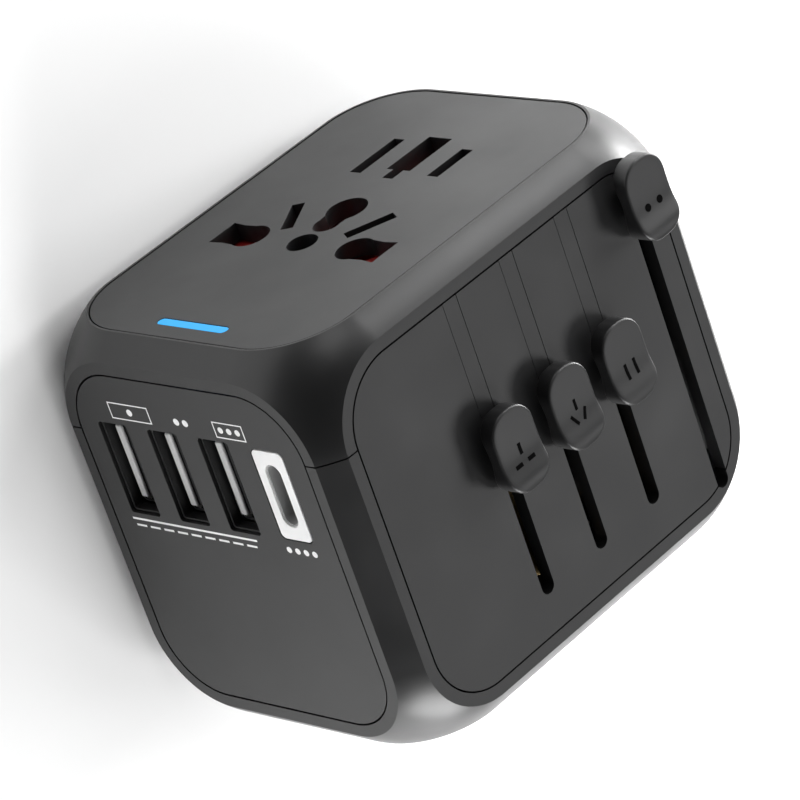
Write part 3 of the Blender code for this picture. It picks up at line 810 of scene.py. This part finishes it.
def tapered_pin(name, node, outline_of, coat, body, taper, sleeve=0.0, turn=0.0, holes=()):
    """A flat or square pin with a tapered tip, and an insulating sleeve round its root."""
    low, high = node_box(node)
    middle = (low + high) / 2
    spot = (middle.x, middle.z)

    def section(shrink):
        return turned(outline_of(spot, shrink), spot, turn)

    sections = [(section(0), low.y), (section(0), high.y - 1.6), (section(taper * 0.5), high.y - 0.5),
                (section(taper), high.y)]
    piece(name, loft("Y", sections), coat, body, [node], cuts=list(holes), bevel=0.12)
    if sleeve:
        hollow = prism("Y", section(-0.01), low.y - 1, low.y + sleeve + 1)
        piece(f"{name}_sleeve", prism("Y", section(-0.22), low.y + 0.02, low.y + sleeve), SLEEVE, body,
              cuts=[hollow], bevel=0.08)


def flat_outline(half_x, half_z, corner):
    """A maker of rounded outlines for a pin of that half size, drawn in by a shrink."""
    def outline(spot, shrink):
        return rounded(spot, (half_x - shrink, half_z - shrink), max(corner - shrink, 0.05), 4)
    return outline


def make_pins():
    live = flat_outline(2.0, 3.15, 0.35)
    earth = flat_outline(4.0, 2.0, 0.35)
    slanted = flat_outline(3.15, 0.8, 0.2)
    parallel = flat_outline(3.18, 0.75, 0.2)
    for name in ("live", "neutral"):
        tapered_pin(f"uk_{name}_blade", f"uk_pin_{name}", live, BRASS, "uk_slider", 0.7, sleeve=9.0)
    tapered_pin("uk_earth_blade", "uk_pin_earth", earth, BRASS, "uk_slider", 0.7)
    for number, side in ((1, 1), (2, -1)):
        tapered_pin(f"aus_pin_{number}", f"aus_blade_{number}", slanted, BRASS, "aus_slider", 0.35,
                    turn=-side * SLANT)
        node = f"us_blade_{number}"
        high = node_box(node)[1]
        middle = node_middle(node)
        hole = prism("Z", circle((middle.x, high.y - 3.6), 1.5, 24), middle.z - 3, middle.z + 3)
        tapered_pin(f"us_pin_{number}", node, parallel, BRASS, "us_slider", 0.35, holes=[hole])
        make_eu_pin(number)


def make_eu_pin(number):
    """A round pin with a domed tip and a long insulating sleeve."""
    low, high = node_box(f"eu_pin_{number}")
    middle = (low + high) / 2
    spot = (middle.x, middle.z)
    radius = 2.0
    tip_steps = 7
    sections = [(circle(spot, radius), low.y)]
    for step in range(tip_steps):
        turn = math.pi / 2 * step / tip_steps
        sections.append((circle(spot, radius * math.cos(turn)), high.y - radius * (1 - math.sin(turn))))
    sections.append((circle(spot, 0.15), high.y))
    piece(f"eu_round_pin_{number}", loft("Y", sections), NICKEL, "eu_slider",
          [f"eu_pin_{number}"], sharp=40)
    hollow = prism("Y", circle(spot, radius + 0.02), low.y - 1, high.y)
    sleeve = prism("Y", circle(spot, 2.38), low.y + 0.02, low.y + 10.0)
    piece(f"eu_pin_sleeve_{number}", sleeve, SLEEVE, "eu_slider",
          cuts=[hollow], bevel=0.15)


def make_eu_tower():
    low, high = node_box("eu_tower")
    middle = node_middle("eu_pin_1").x
    front = node_box("eu_pin_1")[0].y - 0.3
    spine = box((middle - 2.0, low.y, -8.0), (middle + 2.0, -11.0, 8.0))
    arm = box((middle - 1.1, low.y + 0.1, 7.0), (middle + 1.1, low.y + 3.6, high.z))
    groove = bmesh.new()
    for side in (-1, 1):
        for step in range(3):
            start = front - 6.0 - step * 2.4
            wall = middle + side * 3.4
            box((wall - 0.35, start, -7.0), (wall + 0.35, start + 1.1, 7.0), groove)
    piece("europlug_body", prism("Y", tower_outline(0), -12.0, front), CHARCOAL, "eu_slider",
          ["eu_tower"], cuts=[groove], joins=[spine, arm], bevel=0.3, segments=3)


# Nodes that keep their CAD shape.

def coat_nodes():
    coats = {
        RED: ["shutter"],
        BRASS: ["contact_live", "contact_neutral", "contact_earth"],
        BOARD: ["circuit_board"],
        TAPE: ["transformer"],
        CERAMIC: ["fuse"],
        BLACK: ["capacitor_1", "capacitor_2", "uk_carriage", "aus_carriage", "us_carriage"],
        NICKEL: ["case_screw_1", "case_screw_2", "case_screw_3", "case_screw_4"],
    }
    for coat, nodes in coats.items():
        for node in nodes:
            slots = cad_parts[node].material_slots
            for slot in slots:
                slot.material = coat


# Room.

def make_floor():
    solid = bmesh.new()
    reach = 700
    corners = [solid.verts.new((x, y, -MIDDLE.z)) for x, y in rectangle(-reach, reach, -reach, reach)]
    solid.faces.new(corners)
    floor = new_object("floor", solid)
    floor.data.materials.append(PAPER)


def softbox(name, place, aim, size, watts):
    """An area light at a place in millimetres from the case's middle, facing an aim."""
    data = bpy.data.lights.new(name, "AREA")
    data.shape = "RECTANGLE"
    data.size = size[0] * MM
    data.size_y = size[1] * MM
    data.energy = watts
    lamp = bpy.data.objects.new(name, data)
    bpy.context.scene.collection.objects.link(lamp)
    lamp.location = (Vector(place) + MIDDLE) * MM
    lamp.rotation_mode = "QUATERNION"
    lamp.rotation_quaternion = (Vector(aim) - Vector(place)).to_track_quat("-Z", "Y")


PALE_BACKGROUND = 0.95
DIM_BACKGROUND = 0.1


def make_world():
    """A background that looks pale past the edge of the floor, but lights the object only dimly."""
    world = bpy.data.worlds.new("studio")
    world.use_nodes = True
    tree = world.node_tree
    pale = tree.nodes["Background"]
    pale.inputs["Strength"].default_value = PALE_BACKGROUND
    dim = tree.nodes.new("ShaderNodeBackground")
    dim.inputs["Strength"].default_value = DIM_BACKGROUND
    for background in (pale, dim):
        background.inputs["Color"].default_value = (1, 1, 1, 1)
    seen = tree.nodes.new("ShaderNodeLightPath")
    mix = tree.nodes.new("ShaderNodeMixShader")
    tree.links.new(seen.outputs["Is Camera Ray"], mix.inputs["Fac"])
    tree.links.new(dim.outputs["Background"], mix.inputs[1])
    tree.links.new(pale.outputs["Background"], mix.inputs[2])
    tree.links.new(mix.outputs["Shader"], tree.nodes["World Output"].inputs["Surface"])
    bpy.context.scene.world = world


def make_lights():
    softbox("overhead_light", (0, 0, 600), (0, 0, 0), (500, 500), 0.5)
    softbox("slider_side_light", (-300, 230, 375), (0, 0, 20), (160, 160), 0.19)
    softbox("plug_side_light", (-60, 400, 350), (60, 40, -25), (200, 200), 1.25)
    softbox("plug_side_low_light", (120, 440, 135), (60, 0, -20), (300, 200), 2.4)
    softbox("socket_side_light", (-20, -420, 180), (0, -120, -25), (220, 120), 0.35)
    softbox("socket_edge_light", (-230, -230, 120), (-70, -60, -25), (120, 120), 0.5)
    softbox("far_side_light", (-300, -60, 250), (-90, -80, -25), (180, 180), 0.35)
    softbox("far_side_low_light", (-420, -60, 90), (0, -40, -20), (200, 120), 2.4)


# The camera's place and aim, in millimetres from the middle of the case, its roll and its lens.
CAMERA_PLACE = (327.95, -251.81, 409.35)
CAMERA_AIM = (0.125, -1.169, -0.814)
CAMERA_ROLL = math.radians(98.749)
CAMERA_LENS = 205.65


def make_camera():
    data = bpy.data.cameras.new("camera")
    data.lens = CAMERA_LENS
    data.sensor_width = 36.0
    data.clip_start = 0.01
    camera = bpy.data.objects.new("camera", data)
    bpy.context.scene.collection.objects.link(camera)
    camera.location = (Vector(CAMERA_PLACE) + MIDDLE) * MM
    look = (Vector(CAMERA_AIM) - Vector(CAMERA_PLACE)).to_track_quat("-Z", "Y")
    camera.rotation_mode = "QUATERNION"
    camera.rotation_quaternion = look @ Quaternion((0, 0, 1), CAMERA_ROLL)
    bpy.context.scene.camera = camera


bpy.context.scene.view_settings.view_transform = "Standard"
make_camera()
make_world()
make_lights()
make_floor()
make_case()
make_bay_wall()
make_slider_panel()
make_socket_plate()
make_usb_side()
for slider in SLIDERS:
    make_knob(slider)
make_pins()
make_eu_tower()
coat_nodes()
